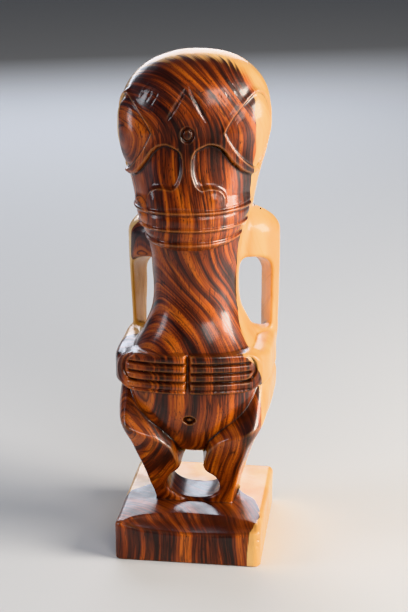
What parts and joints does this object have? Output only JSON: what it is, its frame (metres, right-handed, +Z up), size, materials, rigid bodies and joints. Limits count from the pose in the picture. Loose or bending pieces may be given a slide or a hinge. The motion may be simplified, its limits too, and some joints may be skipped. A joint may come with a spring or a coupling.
{
  "type": "tiki statue",
  "caption": "Carved wooden tiki figure with a large oval head, hands on the belly, bent knees and a square base, standing by its own weight.",
  "frame": {"origin": "middle of the base's flat underside", "axes": "+Z up along the figure, -Y the way the face looks, +X the viewer's right"},
  "size_m": [0.063, 0.062, 0.2001],
  "materials": {
    "rosewood": "polished"
  },
  "bodies": {
    "root": {"tiki_statue": "rosewood"}
  },
  "joints": []
}
